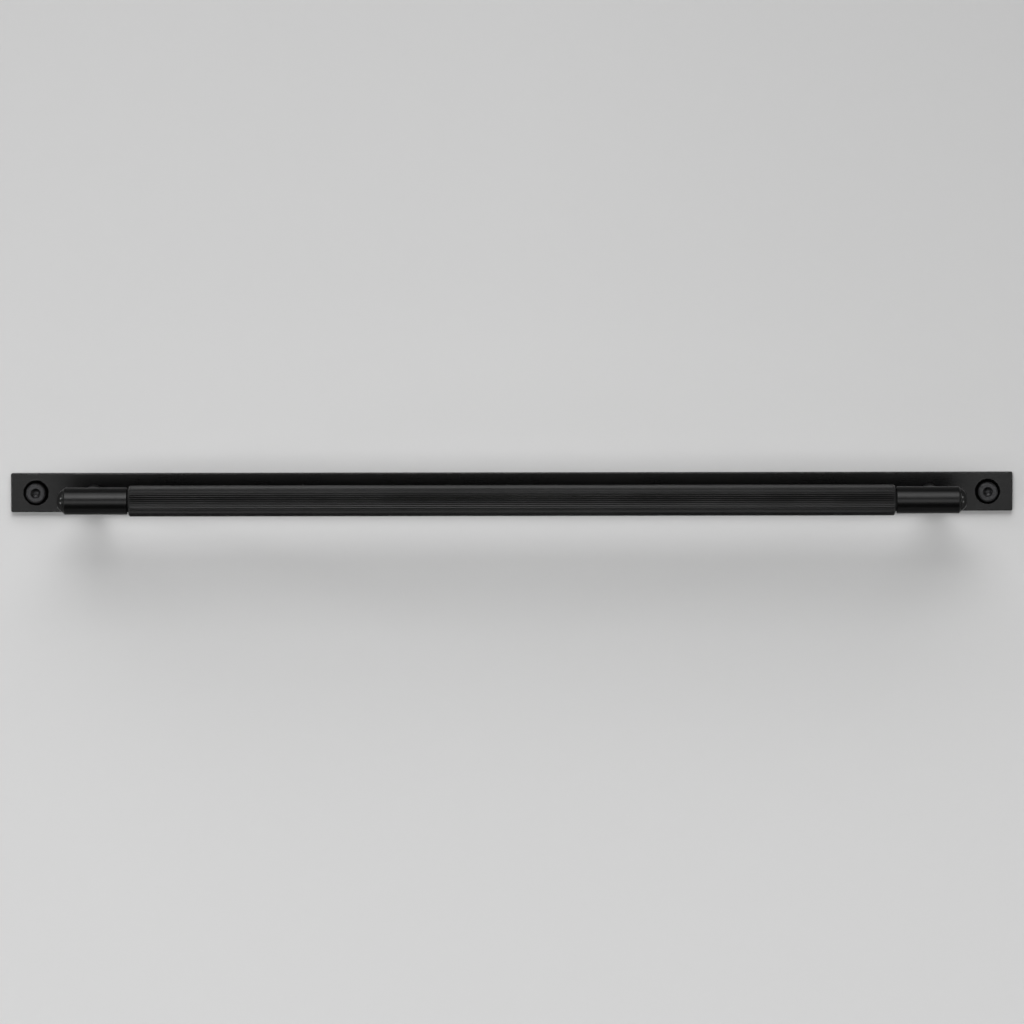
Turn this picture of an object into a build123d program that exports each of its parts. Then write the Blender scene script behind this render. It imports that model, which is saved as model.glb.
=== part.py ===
from build123d import *
import os
from math import hypot, pi, radians, tan

# A bar handle for a cabinet or drawer front, in millimetres.
# The plate's back face lies on y = 0, centred on the origin, and the bar stands out towards -Y.
# X runs along the handle and Z is up.

# Backplate
PLATE_LENGTH = 360.0
PLATE_WIDTH = 14.0
PLATE_THICKNESS = 2.0
PLATE_CORNER_RADIUS = 0.6
PLATE_EDGE_RADIUS = 0.4

# Fixing screws, M4 socket cap, whose heads sit in conical recesses near the plate's ends
FIXING_INSET = 9.0  # plate end to screw axis
RECESS_CLEARANCE = 1.0  # on the radius, head in the mouth of its recess
RECESS_ANGLE = 90.0
FIXING_THREAD_DIAMETER = 4.0
FIXING_HOLE_CLEARANCE = 0.25  # on the radius, thread through the plate
FIXING_SHANK_RECESS = 0.25  # on the radius, plain shank below the thread's outside
FIXING_SCREW_LENGTH = 16.0  # under the head
FIXING_HEAD_DIAMETER = 7.0
FIXING_HEAD_HEIGHT = 4.0
FIXING_HEAD_CHAMFER = 0.4
FIXING_SOCKET_FLATS = 3.0
FIXING_SOCKET_DEPTH = 2.0
FIXING_THREAD_START = 0.3  # behind the plate's back face

# Bar
BAR_STANDOFF = 33.0  # plate's back face to the bar's axis
BAR_INSET = 20.6  # plate end to the sleeve's outer end
POST_INSET = 30.0  # plate end to post axis
GRIP_DIAMETER = 11.0
GRIP_END_CHAMFER = 0.5
RIB_COUNT = 48
RIB_CREST = 0.10  # width left on top of each rib
RIB_GROOVE_ANGLE = 96.0  # between the two flanks of a groove
SHADOW_GAP = 0.5  # open gap between grip and sleeve, the length of the neck
NECK_RECESS = 0.8  # how far the neck lies below the sleeve's surface

# Sleeves
SLEEVE_DIAMETER = 9.6
SLEEVE_LENGTH = 22.8
SLEEVE_WALL = 1.25
SLEEVE_INNER_CHAMFER = 0.2
SLEEVE_OUTER_CHAMFER = 0.6
SPIGOT_CLEARANCE = 0.05  # on the radius, spigot in sleeve
SPIGOT_SHORTFALL = 0.4  # spigot's tip to the sleeve's outer end, so that the screw clamps the sleeve

# Posts
POST_DIAMETER = 6.0
POST_FOOT_CHAMFER = 0.3
POST_SEAT_DEPTH = 0.7  # flat seat for the post, below the sleeve's surface
POST_SEAT_CLEARANCE = 0.1  # on the radius, post in its seat
STUD_DIAMETER = 4.0
STUD_LENGTH = 6.2
STUD_HOLE_CLEARANCE = 0.15  # on the radius, stud through the sleeve's wall
STUD_TIP_CLEARANCE = 0.5  # stud's tip to the bottom of its tapped hole in the spigot

# End screws, M5 with a low domed head
END_THREAD_DIAMETER = 5.0
END_SCREW_LENGTH = 5.0  # under the head
END_TIP_CLEARANCE = 0.8  # screw's tip to the bottom of its tapped hole
END_HEAD_INSET = 0.75  # on the radius, head's rim inside the sleeve's surface
END_HEAD_HEIGHT = 2.1
END_HEAD_RIM = 0.65  # straight part of the head's side
END_HEAD_FLAT_DIAMETER = 4.7
END_SOCKET_FLATS = 3.0
END_SOCKET_DEPTH = 1.3

# Post screws, M3 countersunk, from the back of the plate
POST_SCREW_LENGTH = 8.0  # over all
POST_SCREW_HEAD_DIAMETER = 6.0
POST_SCREW_HEAD_RECESS = 0.2  # head below the plate's back face
POST_SCREW_THREAD_DIAMETER = 3.0
POST_SCREW_HOLE_CLEARANCE = 0.15  # on the radius, screw through the plate
POST_SCREW_TIP_CLEARANCE = 1.4  # screw's tip to the bottom of its tapped hole
POST_SCREW_SOCKET_FLATS = 2.0
POST_SCREW_SOCKET_DEPTH = 1.2
COUNTERSINK_ANGLE = 90.0
COUNTERSINK_CLEARANCE = 0.02  # on the radius, head in countersink

# Shared by every thread
THREAD_CLEARANCE = 0.05  # on the radius, screw in tapped hole

# Places that follow from the sizes above
FIXING_X = PLATE_LENGTH / 2 - FIXING_INSET
POST_X = PLATE_LENGTH / 2 - POST_INSET
BAR_END = PLATE_LENGTH / 2 - BAR_INSET
GRIP_LENGTH = 2 * (BAR_END - SLEEVE_LENGTH - SHADOW_GAP)
RECESS_DIAMETER = FIXING_HEAD_DIAMETER + 2 * RECESS_CLEARANCE
FIXING_SEAT_DEPTH = RECESS_CLEARANCE / tan(radians(RECESS_ANGLE / 2))  # head's underside, in its recess
FIXING_HOLE_DIAMETER = FIXING_THREAD_DIAMETER + 2 * FIXING_HOLE_CLEARANCE
FIXING_SHANK_DIAMETER = FIXING_THREAD_DIAMETER - 2 * FIXING_SHANK_RECESS
NECK_DIAMETER = SLEEVE_DIAMETER - 2 * NECK_RECESS
BORE_DIAMETER = SLEEVE_DIAMETER - 2 * SLEEVE_WALL
SPIGOT_DIAMETER = BORE_DIAMETER - 2 * SPIGOT_CLEARANCE
SPIGOT_TIP = BAR_END - SPIGOT_SHORTFALL
SEAT_DEPTH_FROM_WALL = BAR_STANDOFF - SLEEVE_DIAMETER / 2 + POST_SEAT_DEPTH
SPIGOT_DEPTH_FROM_WALL = BAR_STANDOFF - SPIGOT_DIAMETER / 2
STUD_HOLE_DIAMETER = STUD_DIAMETER + 2 * STUD_HOLE_CLEARANCE
END_HEAD_DIAMETER = SLEEVE_DIAMETER - 2 * END_HEAD_INSET
END_TAPPING_DEPTH = END_SCREW_LENGTH - SPIGOT_SHORTFALL + END_TIP_CLEARANCE
POST_SCREW_HOLE_DIAMETER = POST_SCREW_THREAD_DIAMETER + 2 * POST_SCREW_HOLE_CLEARANCE
POST_SCREW_TIP = POST_SCREW_HEAD_RECESS + POST_SCREW_LENGTH  # in front of the plate's back face
POST_TAPPING_DEPTH = POST_SCREW_TIP + POST_SCREW_TIP_CLEARANCE - PLATE_THICKNESS

# Planes. FRONT faces out of the wall, BACK faces into it, and BAR is square to the bar at its middle.
FRONT = Plane.XZ
BACK = -Plane.XZ
BAR = Plane(origin=(0, -BAR_STANDOFF, 0), x_dir=(0, 1, 0), z_dir=(1, 0, 0))
AXIS_PLANE = Plane(origin=(0, -BAR_STANDOFF, 0), x_dir=(1, 0, 0), z_dir=(0, 0, 1))
BAR_AXIS = Axis((0, -BAR_STANDOFF, 0), (1, 0, 0))
SIDES = {"left": -1, "right": 1}


def bar_end(side):
    """Plane across the bar at a sleeve's outer end, facing away from the grip."""
    return Plane(origin=(side * BAR_END, -BAR_STANDOFF, 0), x_dir=(0, 1, 0), z_dir=(side, 0, 0))


def upright(side, x, facing):
    """Plane parallel to the wall, with its origin on an axis at that distance from the middle."""
    return Plane(origin=(side * x, 0, 0), x_dir=(1, 0, 0), z_dir=facing.z_dir)


def cut_socket(face_plane, flats, depth):
    """Cut a hexagon socket into the open part."""
    with BuildSketch(face_plane) as hexagon:
        RegularPolygon(flats / 2, 6, major_radius=False)
    extrude(hexagon.sketch, amount=-depth, mode=Mode.SUBTRACT)


def finish(part, name):
    """Label a finished piece and write it."""
    part.label = name
    export_step(part, f"parts/{name}.step")


os.makedirs("parts", exist_ok=True)

# The countersinks follow the cone of the post screws' heads out to the plate's back face
countersink_slope = tan(radians(COUNTERSINK_ANGLE / 2))
cone_to_face = POST_SCREW_HEAD_RECESS * countersink_slope
countersink_radius = POST_SCREW_HEAD_DIAMETER / 2 + cone_to_face + COUNTERSINK_CLEARANCE

# The flat backplate, with conical recesses in front for the fixing screws' heads and countersinks
# behind for the screws that hold the posts
with BuildPart() as backplate:
    with BuildSketch(FRONT):
        RectangleRounded(PLATE_LENGTH, PLATE_WIDTH, PLATE_CORNER_RADIUS)
    extrude(amount=PLATE_THICKNESS)
    fillet(backplate.faces().sort_by(Axis.Y)[0].edges(), PLATE_EDGE_RADIUS)
    with Locations(FRONT.offset(PLATE_THICKNESS)):
        with GridLocations(2 * FIXING_X, 0, 2, 1):
            CounterSinkHole(
                FIXING_HOLE_DIAMETER / 2,
                RECESS_DIAMETER / 2,
                counter_sink_angle=RECESS_ANGLE,
            )
    with Locations(BACK):
        with GridLocations(2 * POST_X, 0, 2, 1):
            CounterSinkHole(
                POST_SCREW_HOLE_DIAMETER / 2,
                countersink_radius,
                counter_sink_angle=COUNTERSINK_ANGLE,
            )
finish(backplate.part, "backplate")

# The ribbed grip, with the necks and spigots that carry the sleeves turned on the same bar
rib_pitch = pi * GRIP_DIAMETER / RIB_COUNT
groove_half_width = (rib_pitch - RIB_CREST) / 2
groove_slope = tan(radians(RIB_GROOVE_ANGLE / 2))
groove_depth = groove_half_width / groove_slope
stud_hole_depth = SEAT_DEPTH_FROM_WALL + STUD_LENGTH + STUD_TIP_CLEARANCE - SPIGOT_DEPTH_FROM_WALL
with BuildPart() as grip:
    with BuildSketch(BAR):
        Circle(GRIP_DIAMETER / 2)
        with PolarLocations(GRIP_DIAMETER / 2, RIB_COUNT, start_angle=180 / RIB_COUNT):
            Polygon(
                (-groove_depth, 0),
                (groove_depth, 2 * groove_half_width),
                (groove_depth, -2 * groove_half_width),
                align=None,
                mode=Mode.SUBTRACT,
            )
    extrude(amount=GRIP_LENGTH / 2, both=True)
    with BuildSketch(AXIS_PLANE):
        Polygon(
            (-GRIP_LENGTH / 2, 0),
            (-GRIP_LENGTH / 2, GRIP_DIAMETER / 2 - GRIP_END_CHAMFER),
            (-GRIP_LENGTH / 2 + 2 * GRIP_END_CHAMFER, GRIP_DIAMETER / 2 + GRIP_END_CHAMFER),
            (GRIP_LENGTH / 2 - 2 * GRIP_END_CHAMFER, GRIP_DIAMETER / 2 + GRIP_END_CHAMFER),
            (GRIP_LENGTH / 2, GRIP_DIAMETER / 2 - GRIP_END_CHAMFER),
            (GRIP_LENGTH / 2, 0),
            align=None,
        )
    revolve(axis=BAR_AXIS, mode=Mode.INTERSECT)
    with BuildSketch(BAR):
        Circle(NECK_DIAMETER / 2)
    extrude(amount=GRIP_LENGTH / 2 + SHADOW_GAP, both=True)
    with BuildSketch(BAR):
        Circle(SPIGOT_DIAMETER / 2)
    extrude(amount=SPIGOT_TIP, both=True)
    for side in SIDES.values():
        with Locations(bar_end(side).offset(-SPIGOT_SHORTFALL)):
            Hole(END_THREAD_DIAMETER / 2 + THREAD_CLEARANCE, depth=END_TAPPING_DEPTH)
        with Locations(upright(side, POST_X, BACK).offset(-SPIGOT_DEPTH_FROM_WALL)):
            Hole(STUD_DIAMETER / 2 + THREAD_CLEARANCE, depth=stud_hole_depth)
finish(grip.part, "grip")

# Profile of an end screw's head, as (radius, distance from the sleeve's end). The dome is part of
# a sphere centred on the screw's axis.
dome_rim = (END_HEAD_DIAMETER / 2, -END_HEAD_RIM)
dome_flat = (END_HEAD_FLAT_DIAMETER / 2, -END_HEAD_HEIGHT)
dome_rise = END_HEAD_HEIGHT - END_HEAD_RIM
dome_centre = (dome_rim[0] ** 2 - dome_flat[0] ** 2 - dome_rise**2) / (2 * dome_rise)
dome_radius = hypot(dome_rim[0], dome_centre)

for name, side in SIDES.items():
    # Smooth sleeve over the spigot, with a flat seat at its back for the post
    with BuildPart() as sleeve:
        with BuildSketch(bar_end(side)):
            Circle(SLEEVE_DIAMETER / 2)
            Circle(BORE_DIAMETER / 2, mode=Mode.SUBTRACT)
        extrude(amount=-SLEEVE_LENGTH)
        circles = sleeve.edges().filter_by(GeomType.CIRCLE)
        rims = circles.filter_by(lambda circle: circle.radius > BORE_DIAMETER / 2)
        rims_outwards = rims.sort_by(Axis.X, reverse=side < 0)
        chamfer(rims_outwards[0], SLEEVE_INNER_CHAMFER)
        chamfer(rims_outwards[-1], SLEEVE_OUTER_CHAMFER)
        with BuildSketch(upright(side, POST_X, FRONT).offset(SEAT_DEPTH_FROM_WALL)):
            Circle(POST_DIAMETER / 2 + POST_SEAT_CLEARANCE)
        extrude(amount=-2 * POST_SEAT_DEPTH, mode=Mode.SUBTRACT)
        with BuildSketch(upright(side, POST_X, FRONT).offset(SEAT_DEPTH_FROM_WALL)):
            Circle(STUD_HOLE_DIAMETER / 2)
        extrude(amount=SLEEVE_DIAMETER / 2, mode=Mode.SUBTRACT)
    finish(sleeve.part, f"{name}_sleeve")

    # Post, with a stud at the top that locks the sleeve to its spigot and a tapped foot
    with BuildPart() as post:
        with BuildSketch(upright(side, POST_X, FRONT).offset(PLATE_THICKNESS)):
            Circle(POST_DIAMETER / 2)
        extrude(amount=SEAT_DEPTH_FROM_WALL - PLATE_THICKNESS)
        chamfer(post.faces().sort_by(Axis.Y)[-1].edges(), POST_FOOT_CHAMFER)
        with BuildSketch(upright(side, POST_X, FRONT).offset(SEAT_DEPTH_FROM_WALL)):
            Circle(STUD_DIAMETER / 2)
        extrude(amount=STUD_LENGTH)
        with Locations(upright(side, POST_X, BACK).offset(-PLATE_THICKNESS)):
            Hole(POST_SCREW_THREAD_DIAMETER / 2 + THREAD_CLEARANCE, depth=POST_TAPPING_DEPTH)
    finish(post.part, f"{name}_post")

    # End screw that clamps the sleeve against the neck, its low head domed
    with BuildPart() as end_screw:
        profile_plane = Plane(origin=bar_end(side).origin, x_dir=(0, 1, 0), z_dir=(0, 0, side))
        with BuildSketch(profile_plane):
            with BuildLine():
                RadiusArc(dome_rim, dome_flat, dome_radius)
                Polyline(
                    dome_flat,
                    (0, -END_HEAD_HEIGHT),
                    (0, END_SCREW_LENGTH),
                    (END_THREAD_DIAMETER / 2, END_SCREW_LENGTH),
                    (END_THREAD_DIAMETER / 2, 0),
                    (END_HEAD_DIAMETER / 2, 0),
                    dome_rim,
                )
            make_face()
        revolve(axis=BAR_AXIS)
        cut_socket(bar_end(side).offset(END_HEAD_HEIGHT), END_SOCKET_FLATS, END_SOCKET_DEPTH)
    finish(end_screw.part, f"{name}_end_screw")

    # Countersunk screw through the plate into the foot of the post
    with BuildPart() as post_screw:
        head_plane = upright(side, POST_X, BACK).offset(-POST_SCREW_HEAD_RECESS)
        with BuildSketch(head_plane):
            Circle(POST_SCREW_THREAD_DIAMETER / 2)
        extrude(amount=-POST_SCREW_LENGTH)
        with Locations(head_plane):
            Cone(
                bottom_radius=POST_SCREW_THREAD_DIAMETER / 2,
                top_radius=POST_SCREW_HEAD_DIAMETER / 2,
                height=(POST_SCREW_HEAD_DIAMETER - POST_SCREW_THREAD_DIAMETER) / 2 / countersink_slope,
                align=(Align.CENTER, Align.CENTER, Align.MAX),
            )
        cut_socket(head_plane, POST_SCREW_SOCKET_FLATS, POST_SCREW_SOCKET_DEPTH)
    finish(post_screw.part, f"{name}_post_screw")

    # Socket cap screw that fixes the plate to the drawer or door. The rim under its head bears on
    # the cone of the recess.
    with BuildPart() as fixing_screw:
        seat = upright(side, FIXING_X, FRONT).offset(PLATE_THICKNESS - FIXING_SEAT_DEPTH)
        with BuildSketch(seat):
            Circle(FIXING_HEAD_DIAMETER / 2)
        extrude(amount=FIXING_HEAD_HEIGHT)
        chamfer(fixing_screw.faces().sort_by(Axis.Y)[0].edges(), FIXING_HEAD_CHAMFER)
        with BuildSketch(seat):
            Circle(FIXING_SHANK_DIAMETER / 2)
        shank_length = PLATE_THICKNESS - FIXING_SEAT_DEPTH + FIXING_THREAD_START
        extrude(amount=-shank_length)
        with BuildSketch(seat.offset(-shank_length)):
            Circle(FIXING_THREAD_DIAMETER / 2)
        extrude(amount=shank_length - FIXING_SCREW_LENGTH)
        cut_socket(seat.offset(FIXING_HEAD_HEIGHT), FIXING_SOCKET_FLATS, FIXING_SOCKET_DEPTH)
    finish(fixing_screw.part, f"{name}_fixing_screw")
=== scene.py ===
from math import cos, hypot, pi, radians, sin, sqrt, tan

import bmesh
import bpy
from mathutils import Matrix, Vector


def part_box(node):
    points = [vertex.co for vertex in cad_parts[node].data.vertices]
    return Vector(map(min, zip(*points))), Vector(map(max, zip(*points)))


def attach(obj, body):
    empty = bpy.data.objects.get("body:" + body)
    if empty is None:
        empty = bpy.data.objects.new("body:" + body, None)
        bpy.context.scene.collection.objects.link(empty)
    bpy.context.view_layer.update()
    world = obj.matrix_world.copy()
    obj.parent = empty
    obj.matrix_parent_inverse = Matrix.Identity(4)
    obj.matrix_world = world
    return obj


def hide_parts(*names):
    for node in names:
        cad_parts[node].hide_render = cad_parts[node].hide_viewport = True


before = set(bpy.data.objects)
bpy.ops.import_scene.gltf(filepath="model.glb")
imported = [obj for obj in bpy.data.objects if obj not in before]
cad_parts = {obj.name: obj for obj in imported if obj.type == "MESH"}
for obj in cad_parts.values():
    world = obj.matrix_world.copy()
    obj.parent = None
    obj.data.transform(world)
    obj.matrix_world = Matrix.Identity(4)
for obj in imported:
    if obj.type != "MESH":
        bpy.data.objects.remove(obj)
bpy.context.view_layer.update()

scene = bpy.context.scene
scene.view_settings.view_transform = "Standard"

MM = 0.001
MICRON = 0.000001

# Places and outer sizes, read from the frame
plate_low, plate_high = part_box("backplate")
grip_low, grip_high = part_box("grip")
sleeve_low, sleeve_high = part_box("right_sleeve")
post_low, post_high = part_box("right_post")
_, post_screw_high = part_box("right_post_screw")
fixing_low, fixing_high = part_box("right_fixing_screw")

PLATE_THICKNESS = plate_high.y - plate_low.y
BAR_Y = (grip_low.y + grip_high.y) / 2
GRIP_RADIUS = (grip_high.y - grip_low.y) / 2
SPIGOT_TIP = grip_high.x
SLEEVE_RADIUS = (sleeve_high.z - sleeve_low.z) / 2
SLEEVE_LENGTH = sleeve_high.x - sleeve_low.x
SLEEVE_X = (sleeve_low.x + sleeve_high.x) / 2
POST_X = (post_low.x + post_high.x) / 2
POST_RADIUS = (post_high.x - post_low.x) / 2
FIXING_X = (fixing_low.x + fixing_high.x) / 2
SIDES = {"left": -1, "right": 1}

# Fine sizes of the pieces that the frame's boxes don't give
EDGE_RADIUS = 0.4 * MM  # front edges of the plate
EDGE_STEPS = 5
CORNER_RADIUS = 0.6 * MM
CORNER_STEPS = 6
LEAST_CORNER = 0.05 * MM
BACK_BREAK = 0.08 * MM
RECESS_RADIUS = 4.5 * MM  # mouth of the conical recess for a fixing screw's head
RECESS_BREAK = 0.12 * MM
POST_HOLE_RADIUS = 1.65 * MM
COUNTERSINK_RADIUS = 3.22 * MM

RIB_COUNT = 48
RIB_CREST = 0.10 * MM
RIB_GROOVE_ANGLE = 96.0
RIB_SOFTNESS = 0.02 * MM
RIB_STEPS = (
    -0.45, -0.36, -0.24, -0.13, -0.09, -0.065, -0.03,
    0.03, 0.065, 0.09, 0.13, 0.24, 0.36, 0.45, 0.5,
)
GRIP_HALF = 136.1 * MM
GRIP_CHAMFER = 0.5 * MM
GRIP_CHAMFER_STEPS = 6
GRIP_END_BAND = 1.0 * MM  # between the last long facets and the chamfer
NECK_RADIUS = 4.0 * MM
NECK_END = 136.6 * MM
SPIGOT_RADIUS = 3.5 * MM
SPIGOT_CHAMFER = 0.3 * MM
END_TAPPED_RADIUS = 2.55 * MM
END_TAPPED_DEPTH = 5.4 * MM
DRILL_POINT = 1.0 * MM

BORE_RADIUS = 3.55 * MM
BORE_CHAMFER = 0.1 * MM
SLEEVE_OUTER_CHAMFER = 0.6 * MM
SLEEVE_INNER_CHAMFER = 0.2 * MM
SEAT_BELOW_SURFACE = 0.7 * MM
SEAT_CLEARANCE = 0.1 * MM
SEAT_PLANE = SLEEVE_RADIUS - SEAT_BELOW_SURFACE  # from the bar's axis
STUD_RADIUS = 2.0 * MM
STUD_HOLE_RADIUS = 2.15 * MM
STUD_TAPPED_RADIUS = 2.05 * MM
STUD_LENGTH = 6.2 * MM
STUD_TIP_CHAMFER = 0.4 * MM
STUD_THREAD_START = 0.6 * MM  # above the seat
STUD_TIP_CLEARANCE = 0.5 * MM

POST_FOOT_CHAMFER = 0.3 * MM
POST_TAPPED_RADIUS = 1.55 * MM
POST_TAPPED_DEPTH = 7.6 * MM
POST_TAPPED_CHAMFER = 0.2 * MM

END_SCREW_REACH = 5.0 * MM  # under the head
END_THREAD_RADIUS = 2.5 * MM
END_HEAD_RADIUS = 4.05 * MM
END_HEAD_RIM = 0.15 * MM
END_HEAD_HEIGHT = 2.1 * MM
END_HEAD_FLAT_RADIUS = 2.15 * MM
END_HEAD_BULGE = 0.2 * MM
END_HEAD_SOFTNESS = 0.1 * MM
END_HEAD_STEPS = 8
END_THREAD_START = 0.7 * MM  # under the head
END_UNDERCUT = 0.4 * MM
END_UNDERCUT_LENGTH = 0.3 * MM
END_SOCKET_FLATS = 3.0 * MM
END_SOCKET_DEPTH = 1.3 * MM

POST_SCREW_HEAD_RADIUS = 3.0 * MM
POST_SCREW_CONE = 1.5 * MM
POST_SCREW_LENGTH = 8.0 * MM
POST_SCREW_THREAD_RADIUS = 1.5 * MM
POST_SCREW_SOCKET_FLATS = 2.0 * MM
POST_SCREW_SOCKET_DEPTH = 1.2 * MM
POST_SCREW_RIM = 0.06 * MM
POST_SCREW_UNDERCUT = 0.4 * MM
POST_SCREW_NECK = 0.8 * MM  # from the cone to the thread

FIXING_HEAD_RADIUS = 3.5 * MM
FIXING_HEAD_HEIGHT = 4.0 * MM
FIXING_HEAD_CHAMFER = 0.5 * MM
FIXING_HEAD_SOFTNESS = 0.06 * MM
FIXING_SHANK_RADIUS = 1.75 * MM
FIXING_SHANK_LENGTH = 1.3 * MM
FIXING_NECK = 0.25 * MM  # from the shank to the thread
FIXING_REACH = 16.0 * MM  # under the head
FIXING_THREAD_RADIUS = 2.0 * MM
FIXING_SOCKET_FLATS = 3.0 * MM
FIXING_SOCKET_DEPTH = 2.4 * MM

M3_PITCH = 0.5 * MM
M4_PITCH = 0.7 * MM
M5_PITCH = 0.8 * MM
SCREW_TIP_CHAMFER = 0.5 * MM
THREAD_DEPTH_PER_PITCH = 0.61
THREAD_ROOT_END = 0.25  # of the half pitch, flat at the root
THREAD_CREST_START = 0.875
THREAD_LEAD_IN = 0.7
THREAD_RINGS_PER_PITCH = 8
THREAD_COLUMNS = 48
TURNED_COLUMNS = 128
DRILL_COLUMNS = 64
SOCKET_MOUTH = 0.12 * MM
MOUTH_CONE_FOOT = 0.45  # radius of the mouth's cone at its foot, as a share of the flats
DRILL_SHARE = 0.49  # radius of the drill point, as a share of the flats
DRILL_HALF_ANGLE = 60.0
ROUNDING_LIMIT = 0.42  # share of a profile's side that a rounding can take
SUPPORT_SHARE = 0.15  # how far a support point stands from a rounding, as a share of it
SQUARE_ON = 0.99999  # least part of a normal along the axis that counts as square to it
SHARP_ANGLE = 28.0
PLATE_SHARP_ANGLE = 24.0
CUTTER_REACH = 1.2  # of the sleeve's radius
TOUCH = 0.01 * MICRON

# Sockets of the Mix node when it mixes colours
MIX_FACTOR, MIX_BELOW, MIX_ABOVE = 0, 6, 7
MIX_RESULT = 2


class Wire:
    """A node's output that can stand in a sum with numbers and other wires."""

    def __init__(self, sheet, socket):
        self.sheet = sheet
        self.socket = socket

    def maths(self, operation, *terms):
        return self.sheet.add("ShaderNodeMath", {"operation": operation}, dict(enumerate(terms)))

    def __add__(self, other):
        return self.maths("ADD", self, other)

    def __radd__(self, other):
        return self.maths("ADD", other, self)

    def __sub__(self, other):
        return self.maths("SUBTRACT", self, other)

    def __rsub__(self, other):
        return self.maths("SUBTRACT", other, self)

    def __mul__(self, other):
        return self.maths("MULTIPLY", self, other)

    def __rmul__(self, other):
        return self.maths("MULTIPLY", other, self)

    def __truediv__(self, other):
        return self.maths("DIVIDE", self, other)

    def __lt__(self, other):
        return self.maths("LESS_THAN", self, other)

    def __gt__(self, other):
        return self.maths("GREATER_THAN", self, other)

    def __abs__(self):
        return self.maths("ABSOLUTE", self)

    def root(self):
        return self.maths("SQRT", self)

    def fraction(self):
        return self.maths("FRACT", self)

    def least(self, other):
        return self.maths("MINIMUM", self, other)

    def most(self, other):
        return self.maths("MAXIMUM", self, other)

    def soft_least(self, other, softness):
        return self.maths("SMOOTH_MIN", self, other, softness)

    def soft_most(self, other, softness):
        return self.maths("SMOOTH_MAX", self, other, softness)

    def turned_to(self, other):
        """Angle of the point (other, self) about the origin."""
        return self.maths("ARCTAN2", self, other)

    def rise(self, start, end, low=0.0, high=1.0, smooth=True):
        """Goes from low to high as this value goes from start to end."""
        kind = "SMOOTHSTEP" if smooth else "LINEAR"
        values = {"Value": self, "From Min": start, "From Max": end, "To Min": low, "To Max": high}
        return self.sheet.add("ShaderNodeMapRange", {"interpolation_type": kind}, values)


class Sheet:
    """A node tree. add() puts in any node: its settings first, then its sockets' values and links."""

    def __init__(self, tree):
        self.tree = tree

    def add(self, kind, settings=None, values=None, out=0):
        node = self.tree.nodes.new(kind)
        for name, setting in (settings or {}).items():
            setattr(node, name, setting)
        for name, value in (values or {}).items():
            for each in value if isinstance(value, list) else [value]:
                if isinstance(each, Wire):
                    self.tree.links.new(each.socket, node.inputs[name])
                else:
                    node.inputs[name].default_value = each
        return Wire(self, node.outputs[out]) if len(node.outputs) else None

    def split(self, vector):
        """The three numbers of a vector."""
        node = self.add("ShaderNodeSeparateXYZ", {}, {"Vector": vector}).socket.node
        return [Wire(self, output) for output in node.outputs]

    def point(self, x, y, z):
        return self.add("ShaderNodeCombineXYZ", {}, {"X": x, "Y": y, "Z": z})

    def shades(self, factor, low, high):
        """A grey between two levels."""
        return self.tint(factor, (low, low, low, 1.0), (high, high, high, 1.0))

    def tint(self, factor, below, above):
        """A colour between two colours, either of which can be a wire."""
        settings = {"data_type": "RGBA", "clamp_factor": True}
        values = {MIX_FACTOR: factor, MIX_BELOW: below, MIX_ABOVE: above}
        return self.add("ShaderNodeMix", settings, values, out=MIX_RESULT)


# Meshes


def linked(name, mesh):
    """A new object at the origin."""
    obj = bpy.data.objects.new(name, mesh)
    scene.collection.objects.link(obj)
    return obj


def even_columns(count):
    return [2 * pi * i / count for i in range(count)]


def rib_columns():
    """Columns gathered round each rib's crest and groove."""
    return [2 * pi * (rib + step) / RIB_COUNT for rib in range(RIB_COUNT) for step in RIB_STEPS]


def softened(corners, closed=False, steps=4):
    """The profile with its corners rounded. A corner is (along, radius) or (along, radius, softness)."""
    points = []
    count = len(corners)
    for i, corner in enumerate(corners):
        here = Vector(corner[:2])
        softness = corner[2] if len(corner) > 2 else 0
        inner = closed or 0 < i < count - 1
        if not softness or not inner:
            points.append(tuple(here))
            continue
        to_last = Vector(corners[i - 1][:2]) - here
        to_next = Vector(corners[(i + 1) % count][:2]) - here
        reach_back = min(softness, to_last.length * ROUNDING_LIMIT)
        reach_on = min(softness, to_next.length * ROUNDING_LIMIT)
        start = here + to_last.normalized() * reach_back
        end = here + to_next.normalized() * reach_on
        points.append(tuple(start + to_last.normalized() * reach_back * SUPPORT_SHARE))
        for step in range(steps + 1):
            t = step / steps
            points.append(tuple(start * (1 - t) ** 2 + here * 2 * t * (1 - t) + end * t**2))
        points.append(tuple(end + to_next.normalized() * reach_on * SUPPORT_SHARE))
    return points


def turned(name, profile, columns, closed=False):
    """An object turned about Z from (along, radius) points, closed at its poles or round its section."""
    bm = bmesh.new()
    rings = []
    for along, radius in profile:
        if radius < TOUCH:
            rings.append([bm.verts.new((0, 0, along))])
        else:
            rings.append([bm.verts.new((radius * cos(a), radius * sin(a), along)) for a in columns])
    pairs = list(zip(rings, rings[1:]))
    if closed:
        pairs.append((rings[-1], rings[0]))
    for low, high in pairs:
        for i in range(len(columns)):
            around = [low[i % len(low)], low[(i + 1) % len(low)]]
            around += [high[(i + 1) % len(high)], high[i % len(high)]]
            bm.faces.new(list(dict.fromkeys(around)))
    bmesh.ops.recalc_face_normals(bm, faces=bm.faces)
    mesh = bpy.data.meshes.new(name)
    bm.to_mesh(mesh)
    bm.free()
    return linked(name, mesh)


def settled(obj):
    """Works out the object's modifiers and leaves the result as its plain mesh."""
    graph = bpy.context.evaluated_depsgraph_get()
    made = bpy.data.meshes.new_from_object(obj.evaluated_get(graph))
    obj.modifiers.clear()
    first = obj.data
    obj.data = made
    bpy.data.meshes.remove(first)
    return obj


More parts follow.
